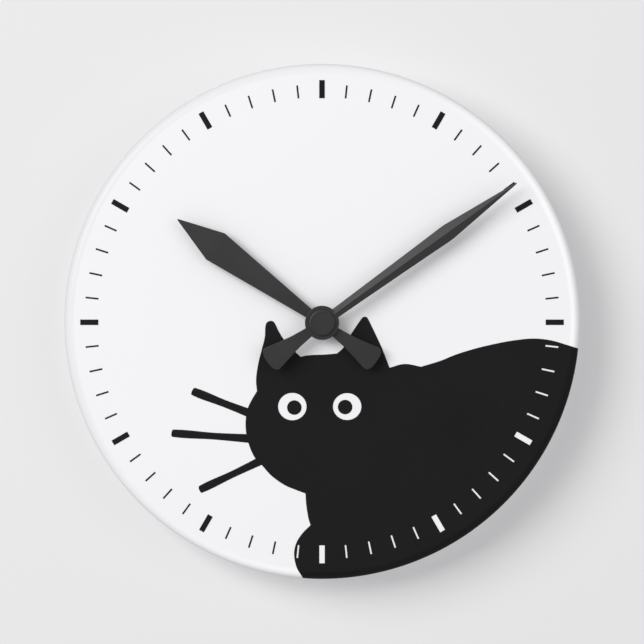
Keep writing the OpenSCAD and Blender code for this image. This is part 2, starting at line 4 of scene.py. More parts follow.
import bpy
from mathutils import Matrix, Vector


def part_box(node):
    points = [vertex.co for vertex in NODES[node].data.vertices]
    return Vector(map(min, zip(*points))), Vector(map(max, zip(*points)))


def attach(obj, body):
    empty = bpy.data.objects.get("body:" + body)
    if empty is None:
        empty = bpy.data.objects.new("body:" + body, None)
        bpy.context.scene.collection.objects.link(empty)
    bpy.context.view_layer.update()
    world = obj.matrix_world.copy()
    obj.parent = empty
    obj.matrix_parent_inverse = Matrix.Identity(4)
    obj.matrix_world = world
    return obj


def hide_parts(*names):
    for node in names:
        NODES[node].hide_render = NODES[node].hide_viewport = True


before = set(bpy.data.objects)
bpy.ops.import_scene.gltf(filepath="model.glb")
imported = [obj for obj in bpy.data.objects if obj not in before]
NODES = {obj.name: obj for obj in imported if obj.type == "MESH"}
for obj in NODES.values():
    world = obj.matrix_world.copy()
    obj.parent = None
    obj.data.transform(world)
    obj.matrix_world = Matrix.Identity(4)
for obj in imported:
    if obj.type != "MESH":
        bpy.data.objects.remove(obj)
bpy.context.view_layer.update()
MM = 0.001
SAME = 1e-6        # points nearer than this lie in one plane, m
PAST = 1 * MM      # how far a cutting tool runs past what it cuts
UPRIGHT = (math.pi / 2, 0, 0)      # turns a primitive's axis to lie along Y


# ---------- places, from the frame ----------
def low(node):
    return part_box(node)[0]


def high(node):
    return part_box(node)[1]


DIAL_R = high("dial_disc").x
DIAL_FRONT, DIAL_BACK = low("dial_disc").y, high("dial_disc").y
EDGE_R = 3.5 * MM          # soft front edge of the dial
BACK_EDGE_R = 0.6 * MM
DIAL_HOLE_R = 4.05 * MM
# marks: inner end, outer end and width, mm
HOUR_MARK = (88.0, 95.1, 2.15)
MINUTE_MARK = (88.4, 93.5, 0.65)
MARKS_ON_CAT = range(16, 32)
MINUTE_ANGLE, HOUR_ANGLE = 54.3, 305.6   # clockwise from 12, at rest
CASE_LOW, CASE_HIGH = low("front_case"), high("front_case")


# ---------- mesh helpers ----------
def deselect():
    if bpy.context.object and bpy.context.object.mode != "OBJECT":
        bpy.ops.object.mode_set(mode="OBJECT")
    bpy.ops.object.select_all(action="DESELECT")


def only(obj):
    deselect()
    obj.select_set(True)
    bpy.context.view_layer.objects.active = obj
    return obj


def named(name):
    obj = bpy.context.object
    obj.name = obj.data.name = name
    return obj


def apply_place(obj):
    only(obj)
    bpy.ops.object.transform_apply(location=True, rotation=True, scale=True)
    return obj


def edit(obj, kind="FACE"):
    """Into edit mode with nothing selected."""
    only(obj)
    bpy.ops.object.mode_set(mode="EDIT")
    bpy.ops.mesh.select_mode(type=kind)
    bpy.ops.mesh.select_all(action="DESELECT")


def leave():
    bpy.ops.object.mode_set(mode="OBJECT")


def pick(obj, kind, test):
    """Selects the faces, edges or vertices that pass test, and returns to edit mode."""
    if bpy.context.object.mode != "OBJECT":
        leave()
    me = obj.data
    for group in (me.polygons, me.edges, me.vertices):
        group.foreach_set("select", [False] * len(group))
    if kind == "FACE":
        for f in me.polygons:
            f.select = test(f)
    elif kind == "EDGE":
        for e in me.edges:
            e.select = test(me.vertices[e.vertices[0]].co, me.vertices[e.vertices[1]].co)
    else:
        for v in me.vertices:
            v.select = test(v.co)
    bpy.ops.object.mode_set(mode="EDIT")
    bpy.ops.mesh.select_mode(type=kind)


def bevel_edges(obj, test, width, segments=2):
    pick(obj, "EDGE", test)
    bpy.ops.mesh.bevel(offset=width, offset_type="OFFSET", segments=segments, profile=0.5)
    leave()


def in_plane(y):
    """Test for the edges that lie in the plane at y."""
    return lambda a, b: abs(a.y - y) < SAME and abs(b.y - y) < SAME


def smooth(obj, angle=35):
    """Smooth shading up to the angle, led by the large faces so that flats stay flat."""
    only(obj)
    if obj.data.has_custom_normals:
        bpy.ops.mesh.customdata_custom_splitnormals_clear()
    bpy.ops.object.shade_smooth_by_angle(angle=math.radians(angle))
    mod = obj.modifiers.new("flats", "WEIGHTED_NORMAL")
    mod.keep_sharp, mod.weight = True, 100
    bpy.ops.object.modifier_apply(modifier=mod.name)
    return obj


def tidy_mesh(obj):
    edit(obj)
    bpy.ops.mesh.select_all(action="SELECT")
    bpy.ops.mesh.remove_doubles(threshold=1e-7)
    bpy.ops.mesh.normals_make_consistent(inside=False)
    leave()
    return obj


def cut(obj, tool, operation="DIFFERENCE"):
    """Boolean with tool, applied; the tool is then removed."""
    only(obj)
    mod = obj.modifiers.new("cut", "BOOLEAN")
    mod.operation, mod.object, mod.solver = operation, tool, "EXACT"
    bpy.ops.object.modifier_apply(modifier=mod.name)
    bpy.data.objects.remove(tool)
    return obj


def soft_edges(obj, width, segments=2, angle=30):
    only(obj)
    mod = obj.modifiers.new("edges", "BEVEL")
    mod.width, mod.segments = width, segments
    mod.limit_method, mod.angle_limit = "ANGLE", math.radians(angle)
    mod.harden_normals = False
    bpy.ops.object.modifier_apply(modifier=mod.name)
    return smooth(obj, angle)


def disc(name, radius, y0, y1, steps=128, x=0.0, z=0.0):
    """A round blank along Y from y0 to y1."""
    deselect()
    bpy.ops.mesh.primitive_cylinder_add(
        vertices=steps, radius=radius, depth=abs(y1 - y0), location=(x, (y0 + y1) / 2, z), rotation=UPRIGHT)
    return apply_place(named(name))


def block(name, lo, hi):
    deselect()
    middle = [(a + b) / 2 for a, b in zip(lo, hi)]
    bpy.ops.mesh.primitive_cube_add(size=1, location=middle, scale=[b - a for a, b in zip(lo, hi)])
    return apply_place(named(name))


def round_block(name, lo, hi, radius, segments=8):
    """A block with its four upright (along Y) corners rounded."""
    obj = block(name, lo, hi)
    bevel_edges(obj, lambda a, b: abs(a.y - b.y) > 0.5 * (hi[1] - lo[1]), radius, segments)
    return obj


def hollow_disc(name, radius, hole, y0, y1, steps=128, x=0.0, z=0.0):
    obj = disc(name, radius, y0, y1, steps, x, z)
    return cut(obj, disc("tool", hole, min(y0, y1) - PAST, max(y0, y1) + PAST, steps, x, z))


# ---------- shader helpers ----------
class Val:
    """A shader socket, or a number, that Python arithmetic turns into Math nodes."""

    def __init__(self, tree, out):
        self.tree, self.out = tree, out

    def _math(self, operation, a, b):
        return node(self.tree, "ShaderNodeMath", {"operation": operation}, {0: a, 1: b})

    def __add__(self, o):
        return self._math("ADD", self, o)

    __radd__ = __add__

    def __sub__(self, o):
        return self._math("SUBTRACT", self, o)

    def __rsub__(self, o):
        return self._math("SUBTRACT", o, self)

    def __mul__(self, o):
        return self._math("MULTIPLY", self, o)

    __rmul__ = __mul__

    def __truediv__(self, o):
        return self._math("DIVIDE", self, o)

    def __rtruediv__(self, o):
        return self._math("DIVIDE", o, self)

    def __gt__(self, o):
        return self._math("GREATER_THAN", self, o)

    def __lt__(self, o):
        return self._math("LESS_THAN", self, o)


def node(tree, kind, settings=None, sockets=None, out=0):
    """Any node: its settings first, then the values or links of its sockets."""
    n = tree.nodes.new(kind)
    for key, value in (settings or {}).items():
        if key == "stops":
            ramp = n.color_ramp
            while len(ramp.elements) < len(value):
                ramp.elements.new(0.5)
            for e, (place, colour) in zip(ramp.elements, value):
                e.position, e.color = place, (*colour, 1) if len(colour) == 3 else colour
        else:
            setattr(n, key, value)
    for key, value in (sockets or {}).items():
        s = n.inputs[key]
        if isinstance(value, Val):
            tree.links.new(value.out, s)
        else:
            s.default_value = value
    return Val(tree, n.outputs[out])


class Finish:
    """One material: Object coordinates, layered noise, and a Principled shader."""

    def __init__(self, name):
        self.mat = bpy.data.materials.new(name)
        self.mat.use_nodes = True
        self.tree = self.mat.node_tree
        self.tree.nodes.clear()
        self.place = self.add("ShaderNodeTexCoord", out="Object")

    def add(self, kind, settings=None, sockets=None, out=0):
        return node(self.tree, kind, settings, sockets, out)

    def noise(self, scale, detail=4, rough=0.55, where=None):
        sockets = {"Vector": where or self.place, "Scale": scale, "Detail": detail, "Roughness": rough}
        return self.add("ShaderNodeTexNoise", {}, sockets, out="Fac")

    def stretched(self, factors):
        return self.add("ShaderNodeMapping", {}, {"Vector": self.place, "Scale": factors})

    def ramp(self, value, *stops):
        return self.add("ShaderNodeValToRGB", {"stops": stops}, {"Fac": value}, out="Color")

    def mix(self, factor, a, b):
        n = self.tree.nodes.new("ShaderNodeMix")
        n.data_type = "RGBA"
        for index, value in ((0, factor), (6, a), (7, b)):
            if isinstance(value, Val):
                self.tree.links.new(value.out, n.inputs[index])
            else:
                n.inputs[index].default_value = value if index == 0 else (*value, 1)
        return Val(self.tree, n.outputs[2])

    def span(self, value, a, b):
        """A noise value, mostly 0.3 to 0.7, stretched to a..b."""
        sockets = {"Value": value, "From Min": 0.3, "From Max": 0.7, "To Min": a, "To Max": b}
        return self.add("ShaderNodeMapRange", {"clamp": True}, sockets)

    def bump(self, height, strength, distance):
        sockets = {"Height": height, "Strength": strength, "Distance": distance}
        return self.add("ShaderNodeBump", {}, sockets, out="Normal")

    def axis(self, k):
        """One coordinate of the place: 0, 1 or 2."""
        return self.add("ShaderNodeSeparateXYZ", {}, {0: self.place}, out=k)

    def spots(self, value, start, end):
        """A mask that is 0 below start and 1 above end."""
        return self.ramp(value, (start, (0, 0, 0)), (end, (1, 1, 1)))

    def shade(self, **sockets):
        shader = self.tree.nodes.new("ShaderNodeBsdfPrincipled")
        for key, value in sockets.items():
            s = shader.inputs[key.replace("_", " ")]
            if isinstance(value, Val):
                self.tree.links.new(value.out, s)
            else:
                s.default_value = (*value, 1) if isinstance(value, tuple) and len(value) == 3 else value
        self.end(Val(self.tree, shader.outputs[0]))
        return self.mat

    def end(self, surface):
        out = self.tree.nodes.new("ShaderNodeOutputMaterial")
        self.tree.links.new(surface.out, out.inputs["Surface"])


def moulded(name, colour, roughness, grain=2200, depth=0.00002, coat=0.0, variation=0.05, gloss=0.5):
    """Moulded or painted plastic: fine grain, slight tone and gloss change, a few rubbed spots."""
    f = Finish(name)
    broad, fine, rubs = f.noise(35), f.noise(grain, 3), f.noise(160, 8, 0.7)
    worn = f.spots(rubs, 0.60, 0.78)
    deep = tuple(c * (1 - variation) for c in colour)
    pale = tuple(min(1, c * (1 + variation) + 0.004) for c in colour)
    base = f.mix(broad, deep, pale)
    base = f.mix(worn * 0.25, base, tuple(min(1, c * 1.25 + 0.01) for c in colour))
    rough = f.span(broad, roughness - 0.05, roughness + 0.05) - worn * 0.06
    return f.shade(Base_Color=base, Roughness=rough, Normal=f.bump(fine, 0.25, depth),
                   Coat_Weight=coat, Specular_IOR_Level=gloss)


def metal(name, colour, roughness, brushed=(1, 1, 1), grain=900):
    """Bare metal: brushed grain, stains and small scratches."""
    f = Finish(name)
    line = f.noise(grain, 3, 0.6, f.stretched(brushed))
    stain = f.noise(60, 6, 0.65)
    base = f.mix(f.spots(stain, 0.35, 0.7), colour, tuple(c * 0.72 for c in colour))
    rough = f.span(line, roughness - 0.08, roughness + 0.1) + stain * 0.05
    return f.shade(Base_Color=base, Metallic=1.0, Roughness=rough, Normal=f.bump(line, 0.2, 0.00001))


PAINTED_RIM_BAND = (97.2 * MM, 99.3 * MM)      # where the printed face gives way to the edge band with painted light and shade


def acrylic(name):
    """White acrylic: a printed face, and on its soft edge painted shade at the upper left and painted light at
    the lower right.
    """
    f = Finish(name)
    broad, fine, specks = f.noise(12, 3), f.noise(900, 3), f.noise(240, 8, 0.75)
    flat = f.add("ShaderNodeVectorMath", {"operation": "MULTIPLY"}, {0: f.place, 1: (1, 0, 1)})
    far = f.add("ShaderNodeVectorMath", {"operation": "LENGTH"}, {0: flat}, out=1)
    edge = f.add("ShaderNodeMapRange", {"interpolation_type": "SMOOTHSTEP"},
                 {"Value": far, "From Min": PAINTED_RIM_BAND[0], "From Max": PAINTED_RIM_BAND[1]})
    behind = DIAL_FRONT + EDGE_R
    fade = {"Value": f.axis(1), "From Min": behind, "From Max": behind + 0.5 * MM, "To Min": 1.0,
            "To Max": 0.0}
    ahead = f.add("ShaderNodeMapRange", {}, fade)
    # painted light and shade on the soft front edge: the rim colour is darker than the face towards the upper
    # left and lighter than the face towards the lower right
    painted_light_lean = (f.axis(0) * 0.85 - f.axis(2) * 0.5) / DIAL_R * 0.5 + 0.5
    face = f.mix(broad, (0.853, 0.853, 0.863), (0.865, 0.865, 0.873))
    face = f.mix(f.spots(specks, 0.70, 0.86) * 0.2, face, (0.8, 0.8, 0.8))
    rim = f.ramp(painted_light_lean, (0.0, (0.71, 0.71, 0.72)), (0.45, (0.86, 0.86, 0.87)), (0.75, (1, 1, 1)))
    return f.shade(Base_Color=f.mix(edge * ahead, face, rim), Roughness=f.span(broad, 0.34, 0.4),
                   Normal=f.bump(fine, 0.2, 0.000004), Specular_IOR_Level=0.3)


WHITE = acrylic("dial_white")
INK = moulded("print_black", (0.0035, 0.0035, 0.0035), 0.6,
              grain=3000, depth=0.000003, variation=0.12, gloss=0.15)
HAND = moulded("hand_black", (0.0107, 0.0107, 0.0112), 0.36,
               grain=4000, depth=0.000004, variation=0.06, gloss=0.55)
CASE = moulded("case_black", (0.022, 0.022, 0.024), 0.5, grain=1500, depth=0.00003)
CREAM = moulded("gear_white", (0.78, 0.76, 0.7), 0.4)
RUBBER = moulded("gasket_black", (0.018, 0.018, 0.018), 0.75, grain=1800, depth=0.00004)
KNOB = moulded("knob_red", (0.52, 0.05, 0.03), 0.42)


def wrap(name):
    """Printed shrink film: a dark body, a pale shoulder at the button end and a thin line between them."""
    f = Finish(name)
    along = f.axis(0)
    line_start, line_end = 12.8 * MM, 13.8 * MM
    scuff = f.spots(f.noise(300, 8, 0.7, f.stretched((0.3, 1, 1))), 0.6, 0.8)
    fine = f.noise(60, 3)
    body = f.mix(along > line_end, (0.012, 0.1, 0.055), (0.62, 0.6, 0.5))
    tone = f.mix((along > line_start) * (along < line_end), body, (0.75, 0.72, 0.66))
    tone = f.mix(scuff * 0.3, tone, (0.4, 0.42, 0.4))
    return f.shade(Base_Color=tone, Roughness=f.span(fine, 0.2, 0.3) + scuff * 0.2,
                   Normal=f.bump(fine, 0.2, 0.00001), Coat_Weight=0.4)


FILM = wrap("cell_film")
BOARD = moulded("board_green", (0.015, 0.14, 0.05), 0.4, grain=1200)
EPOXY = moulded("epoxy_black", (0.012, 0.012, 0.012), 0.2, coat=0.3)
BOBBIN = moulded("bobbin_plastic", (0.7, 0.63, 0.5), 0.45)
STEEL = metal("steel_sheet", (0.62, 0.62, 0.61), 0.32, (1, 1, 14))
NICKEL = metal("nickel_plate", (0.72, 0.7, 0.66), 0.22, (1, 10, 10), 600)
BRASS = metal("brass", (0.72, 0.5, 0.2), 0.28, (1, 1, 1))
COPPER = metal("copper_wire", (0.62, 0.24, 0.1), 0.3, (1, 1, 30), 1500)
MAGNET = metal("magnet_grey", (0.12, 0.12, 0.13), 0.5)

CAD_FINISH = [
    (INK, ("hour_marks", "minute_marks")),
    (BOARD, ("circuit_board",)),
    (EPOXY, ("driver_chip",)),
    (NICKEL, ("quartz_crystal", "positive_contact", "negative_contact")),
    (BOBBIN, ("coil_bobbin",)),
    (COPPER, ("coil_winding",)),
    (STEEL, ("coil_core", "stator_plate", "train_pin")),
    (MAGNET, ("rotor_magnet",)),
    (CREAM, ("rotor_pinion", "fifth_wheel", "seconds_wheel", "third_wheel", "centre_wheel",
             "intermediate_wheel", "hour_wheel")),
    (CASE, ("train_bridge",)),
]
for finish, names in CAD_FINISH:
    for name in names:
        NODES[name].data.materials.clear()
        NODES[name].data.materials.append(finish)


def put(obj, finish, body, slot, *nodes):
    """Gives a finished piece its material and its body, and hides the CAD nodes it stands for; slot is not
    used.
    """
    obj.data.materials.clear()
    obj.data.materials.append(finish)
    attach(obj, body)
    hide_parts(*nodes)
    return obj


def turned(obj, clockwise):
    """Turns a piece about the hand axis, clockwise as seen from the front."""
    obj.rotation_euler = (0, math.radians(clockwise), 0)
    return apply_place(obj)


# ---------- dial ----------
def dial_blank(name, grow, back):
    """The dial's disc with its soft front edge, made larger all round by grow."""
    obj = disc(name, DIAL_R + grow, DIAL_FRONT - grow, back, 256)
    bevel_edges(obj, in_plane(DIAL_FRONT - grow), EDGE_R + grow, 14)
    return obj


def make_dial():
    obj = dial_blank("dial", 0, DIAL_BACK)
    bevel_edges(obj, in_plane(DIAL_BACK), BACK_EDGE_R, 4)
    cut(obj, disc("tool", DIAL_HOLE_R, DIAL_FRONT - PAST, DIAL_BACK + PAST, 96))
    smooth(obj, 30)
    return put(obj, WHITE, "clock_frame", "white_acrylic", "dial_disc")


# ---------- print ----------
INK_T = 0.1 * MM
# outline of the crouching cat in mm: x, z, and 1 where the line turns sharply
CAT = [
    (-21.9, -0.4, 0), (-21.2, 0.3, 0), (-20.2, 0.55, 0), (-19.2, 0.3, 0), (-18.5, -0.5, 0),
    (-17.1, -3.4, 0), (-15.2, -6.5, 0), (-11.5, -10.7, 0), (-8.4, -13.6, 1), (-5.5, -13, 0),
    (0.9, -12.7, 0), (5.9, -12.3, 1), (8.5, -9.9, 0), (11.4, -4.7, 0), (15.6, 1.5, 0),
    (16.2, 2.05, 0), (16.9, 2.2, 0), (17.6, 2, 0), (18.3, 1, 0), (21.2, -5, 0), (23.6, -10.2, 0),
    (26.6, -17.9, 1), (32.5, -16.4, 0), (39, -17.5, 1), (46.5, -15.2, 0), (53, -12.6, 0),
    (60.5, -10.3, 0), (68, -8.5, 0), (75, -7.2, 0), (83, -6.4, 0), (90, -7.1, 0), (97, -9.1, 0),
    (105, -11.7, 1), (105, -60, 1), (70, -105, 1), (-6.2, -105, 1), (-7.6, -101, 0),
    (-10, -96.7, 0), (-11, -91.4, 0), (-10.1, -87, 0), (-7.6, -83.1, 0), (-4.5, -80, 1),
    (-5.3, -77.5, 0), (-6.2, -72, 0), (-6.5, -67.5, 1), (-10, -66.2, 0), (-14.7, -64.2, 0),
    (-19.9, -60.5, 0), (-23.7, -56.3, 0), (-26.7, -53, 0), (-29.2, -46.8, 0), (-30.1, -40.8, 0),
    (-29.5, -34.8, 0), (-27.9, -31, 0), (-25.6, -27.1, 1), (-25.95, -22.6, 0), (-25.1, -16.3, 0),
    (-23.6, -10.3, 0), (-22.5, -5.8, 0), (-22.3, -2, 0),
]
# outer end, root on the head, width at each
WHISKERS = [
    ((-50.7, -27.2), (-26, -36.8), 3.1, 3.5),
    ((-58.8, -43.7), (-26, -46), 2.9, 3.6),
    ((-47.9, -65.9), (-22.5, -53.8), 2.9, 3.4),
]
# centre, half width, half height, pupil centre
EYES = [
    ((-11.7, -33.2), 5.6, 5.4, (-10.9, -33.6)),
    ((9.9, -33.2), 5.6, 5.3, (9.1, -33.4)),
]
PUPIL_R = 2.85
EYE_STEPS = 72
INK_ENDS = 75      # how far round the soft edge the ink goes, degrees


def flowing(points, steps):
    """A closed curve through the points, with corners kept where the third number is 1."""
    n = len(points)
    at = [Vector(p[:2]) for p in points]

    def heading(i, after):
        a, b, c = at[i - 1], at[i], at[(i + 1) % n]
        if points[i][2]:
            return (c - b).normalized() if after else (b - a).normalized()
        return (c - a).normalized()

    curve = []
    for i in range(n):
        a, b = at[i], at[(i + 1) % n]
        reach = (b - a).length
        u, v = heading(i, True) * reach, heading((i + 1) % n, False) * reach
        for k in range(steps):
            t = k / steps
            from_a = a * (2 * t ** 3 - 3 * t ** 2 + 1) + u * (t ** 3 - 2 * t ** 2 + t)
            curve.append(from_a + b * (3 * t ** 2 - 2 * t ** 3) + v * (t ** 3 - t ** 2))
    return curve


def prism(name, curve, front=None, back=None):
    """A flat closed curve, in mm, extruded along Y."""
    front = DIAL_FRONT - PAST if front is None else front
    back = DIAL_BACK if back is None else back
    deselect()
    bpy.ops.mesh.primitive_circle_add(vertices=len(curve), radius=1, fill_type="NGON", rotation=UPRIGHT)
    obj = apply_place(named(name))
    for v, p in zip(obj.data.vertices, curve):
        v.co = (p[0] * MM, front, p[1] * MM)
    edit(obj)
    bpy.ops.mesh.select_all(action="SELECT")
    bpy.ops.mesh.extrude_region_move(TRANSFORM_OT_translate={"value": (0, back - front, 0)})
    leave()
    return tidy_mesh(obj)


def whisker(tip, root, w_tip, w_root):
    """One whisker, drawn along x from its tip and then turned to run to its root."""
    along = Vector(root) - Vector(tip)
    length, turn = along.length, math.atan2(along.y, along.x)
    cos, sin = math.cos(turn), math.sin(turn)
    shape = [(0, -w_tip / 2, 0), (length / 2, -w_tip * 0.47, 0), (length, -w_root / 2, 1),
             (length, w_root / 2, 1), (length / 2, w_tip * 0.45, 0), (0.2, w_tip / 2, 0), (-0.5, 0, 0)]
    return prism("whisker", [(tip[0] + p.x * cos - p.y * sin, tip[1] + p.x * sin + p.y * cos)
                             for p in flowing(shape, 5)])


def ellipse(x, z, rx, rz, steps):
    turns = [2 * math.pi * k / steps for k in range(steps)]
    return [(x + rx * math.cos(a), z + rz * math.sin(a)) for a in turns]


def mark_tool(k):
    """The space of mark k, right through the print."""
    inner, outer, width = HOUR_MARK if k % 5 == 0 else MINUTE_MARK
    half = width / 2 * MM
    bar = block("tool", (-half, DIAL_FRONT - 2 * PAST, inner * MM), (half, DIAL_BACK + PAST, outer * MM))
    return turned(bar, 6 * k)


def make_print():
    """The cat as a thin skin of ink that follows the dial's front and its soft edge."""
    obj = prism("cat_ink", flowing(CAT, 6))
    union(obj, *[whisker(*w) for w in WHISKERS])
    for (x, z), rx, rz, pupil in EYES:
        white = prism("tool", ellipse(x, z, rx, rz, EYE_STEPS), DIAL_FRONT - 2 * PAST, DIAL_BACK + PAST)
        cut(white, disc("tool", PUPIL_R * MM, DIAL_FRONT - 3 * PAST, DIAL_BACK + 2 * PAST, 64,
                        pupil[0] * MM, pupil[1] * MM))
        cut(obj, white)
    for k in MARKS_ON_CAT:
        cut(obj, mark_tool(k))
    shell = cut(dial_blank("shell", INK_T, DIAL_BACK - 0.5 * MM), dial_blank("tool", 0, DIAL_BACK + PAST))
    end = DIAL_FRONT + EDGE_R * (1 - math.cos(math.radians(INK_ENDS)))
    cut(shell, block("tool", (-2 * DIAL_R, end, -2 * DIAL_R), (2 * DIAL_R, DIAL_BACK + 2 * PAST, 2 * DIAL_R)))
    cut(obj, shell, "INTERSECT")
    smooth(tidy_mesh(obj), 30)
    return put(obj, INK, "clock_frame", "black_ink", "cat_print")


# ---------- hands ----------
HUB_R = 6.7 * MM
HAND_T = 0.9 * MM          # thickness along the ridge
TAIL_DROP = 0.25 * MM      # the counterweight's face lies this far behind the ridge


def fan(name, rows, columns, place):
    """A sheet of rows x columns quads; place(row, side) gives each point, side running from -1 to 1."""
    deselect()
    bpy.ops.mesh.primitive_grid_add(x_subdivisions=columns, y_subdivisions=rows - 1, size=2, rotation=UPRIGHT)
    obj = apply_place(named(name))
    levels = sorted({round(v.co.z, 4) for v in obj.data.vertices})
    for v in obj.data.vertices:
        v.co = place(levels.index(round(v.co.z, 4)), v.co.x)
    return obj


def thicken(obj, back):
    """Extrudes a sheet straight back to the plane y = back."""
    edit(obj)
    bpy.ops.mesh.select_all(action="SELECT")
    bpy.ops.mesh.extrude_region_move(TRANSFORM_OT_translate={"value": (0, 1, 0)})
    leave()
    for v in obj.data.vertices:
        if v.co.y > 0.5:
            v.co.y = back
    return tidy_mesh(obj)


def blade(name, stations, front, back, slope):
    """A pointed blade with a ridge along its middle, pointing at 12."""
    def place(row, side):
        r, w = stations[row]
        return (side * w, front + abs(side) * w * slope, r)
    obj = thicken(fan(name, len(stations), 2, place), back)
    return soft_edges(obj, 0.07 * MM, 2, 60)


def tail(name, stations, front, back):
    """The flat counterweight with its rounded end and bevelled rim, pointing at 6."""
    def place(row, side):
        r, w = stations[row]
        a = side * math.asin(w / r)
        return (r * math.sin(a), front, -r * math.cos(a))
    obj = thicken(fan(name, len(stations), 12, place), back)
    return soft_edges(obj, 0.22 * MM, 3, 50)


def union(obj, *others):
    for o in others:
        cut(obj, o, "UNION")
    return obj


# each hand's outline: distance from the axis and half width there, mm
TAIL = [(5.0, 1.9), (6.7, 2.0), (13.0, 2.7), (18.0, 3.65), (22.0, 4.5), (24.2, 4.95), (25.0, 4.9),
        (25.6, 4.5), (26.0, 3.7), (26.3, 2.4)]
MINUTE_BLADE = [(5.5, 1.95), (20.0, 2.27), (40.0, 2.75), (54.0, 3.12), (58.5, 3.27), (61.0, 3.27),
                (64.5, 2.95), (93.2, 0.32), (93.7, 0.12)]
HOUR_BLADE = [(5.0, 1.85), (20.0, 3.28), (35.0, 4.72), (51.3, 6.3), (69.2, 0.32), (69.6, 0.1)]


def in_mm(stations):
    return [(r * MM, w * MM) for r, w in stations]


def make_hand(name, node_name, outline, slope, hub, collet_r, collet_edge, bore):
    """A blade, its counterweight, hub disc and collet as one piece, still pointing at 12.

    hub holds the disc's radius, its drop behind the ridge, its edge radius and the steps of both.
    """
    front, end = low(node_name).y, high(node_name).y
    back = front + HAND_T
    hub_r, drop, hub_edge, edge_steps, steps = hub
    obj = blade(name, in_mm(outline), front, back, slope)
    plate = disc("hub", hub_r, front + drop, back, steps)
    soft_edges(plate, hub_edge, edge_steps)
    collet = disc("collet", collet_r, back - 0.1 * MM, end, 64)
    soft_edges(collet, collet_edge, 2)
    union(obj, tail("counterweight", in_mm(TAIL), front + TAIL_DROP, back), plate, collet)
    cut(obj, disc("tool", bore, front - PAST, end + PAST, 48))
    return smooth(obj, 12)


def make_minute_hand():
    obj = make_hand("minute_hand_piece", "minute_hand", MINUTE_BLADE, 0.2,
                    (HUB_R, 0.1 * MM, 0.3 * MM, 4, 128), 2.6 * MM, 0.1 * MM, 1.61 * MM)
    return put(turned(obj, MINUTE_ANGLE), HAND, "minute_group", "hand_black", "minute_hand")


def make_hour_hand():
    obj = make_hand("hour_hand_piece", "hour_hand", HOUR_BLADE, 0.07,
                    (HUB_R - 0.9 * MM, 0.2 * MM, 0.2 * MM, 3, 96), 3.6 * MM, 0.12 * MM, 2.56 * MM)
    return put(turned(obj, HOUR_ANGLE), HAND, "hour_group", "hand_black", "hour_hand")


def make_cap():
    front, back = low("centre_cap").y, high("centre_cap").y
    obj = disc("cap", high("centre_cap").x, front, back, 128)
    bevel_edges(obj, in_plane(front), 0.35 * MM, 4)
    pick(obj, "FACE", lambda f: f.normal.y < -0.99 and f.area > 1e-5)
    bpy.ops.mesh.inset(thickness=0.45 * MM)
    bpy.ops.mesh.inset(thickness=0.12 * MM)
    bpy.ops.transform.translate(value=(0, 0.12 * MM, 0))
    leave()
    cut(obj, disc("tool", 1.7 * MM, front + 0.7 * MM, back + PAST, 48))
    smooth(obj, 25)
    return put(obj, HAND, "minute_group", "hand_black", "centre_cap")


# ---------- fittings on the bushing ----------
BUSH_R = 3.9 * MM


def make_nut():
    lo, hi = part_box("bushing_nut")
    deselect()
    bpy.ops.mesh.primitive_cylinder_add(
        vertices=6, radius=6.2 * MM, depth=hi.y - lo.y, location=(0, (lo.y + hi.y) / 2, 0),
        rotation=(math.pi / 2, 0, math.pi / 2))
    obj = apply_place(named("nut"))
    obj.rotation_euler = (0, math.pi / 6, 0)
    apply_place(obj)
    cone = disc("cone", 6.15 * MM, lo.y, hi.y, 96)
    bevel_edges(cone, in_plane(lo.y), 0.6 * MM, 1)
    bevel_edges(cone, in_plane(hi.y), 0.3 * MM, 1)
    cut(obj, cone, "INTERSECT")
    cut(obj, disc("tool", BUSH_R, lo.y - PAST, hi.y + PAST, 64))
    soft_edges(obj, 0.08 * MM, 2)
    return put(obj, BRASS, "clock_frame", "brass", "bushing_nut")


def ring(name, outer, inner, edge, finish, slot, node_name):
    obj = hollow_disc(name, outer, inner, low(node_name).y, high(node_name).y, 96)
    soft_edges(obj, edge, 2)
    return put(obj, finish, "clock_frame", slot, node_name)


# ---------- movement ----------
WALL = 1.5 * MM
BAY_WALL = (-11.3 * MM, -10.3 * MM)
CASE_FRONT = high("dial_gasket").y
FLOOR_BACK = CASE_FRONT + 1.2 * MM
HALF = CASE_HIGH.x
SEAM = -WALL
KNOB_X = (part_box("setting_knob")[0].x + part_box("setting_knob")[1].x) / 2
KNOB_Z = (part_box("setting_knob")[0].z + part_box("setting_knob")[1].z) / 2
KNOB_TOOTH = 15           # turns the knob pinion so that it meshes at rest, degrees
# posts under the bridge: x, z and radius in mm; the cover screws go into the first two
POSTS = [(-20.5, -7.0, 1.8), (22.5, -7.0, 1.8), (9.5, 21.5, 1.8)]
# pegs for the stator, board, intermediate wheel and rotor: x, z, radius and end height in mm
STUDS = [(13.5, 24.5, 1.2, 8.2), (13.5, -3.0, 1.2, 8.2), (-23.5, 24.0, 1.4, 6.0), (-9.0, 20.5, 1.4, 6.0),
         (5.4, 9.35, 0.8, 12.5), (17.1, 0.48, 1.5, 9.8)]


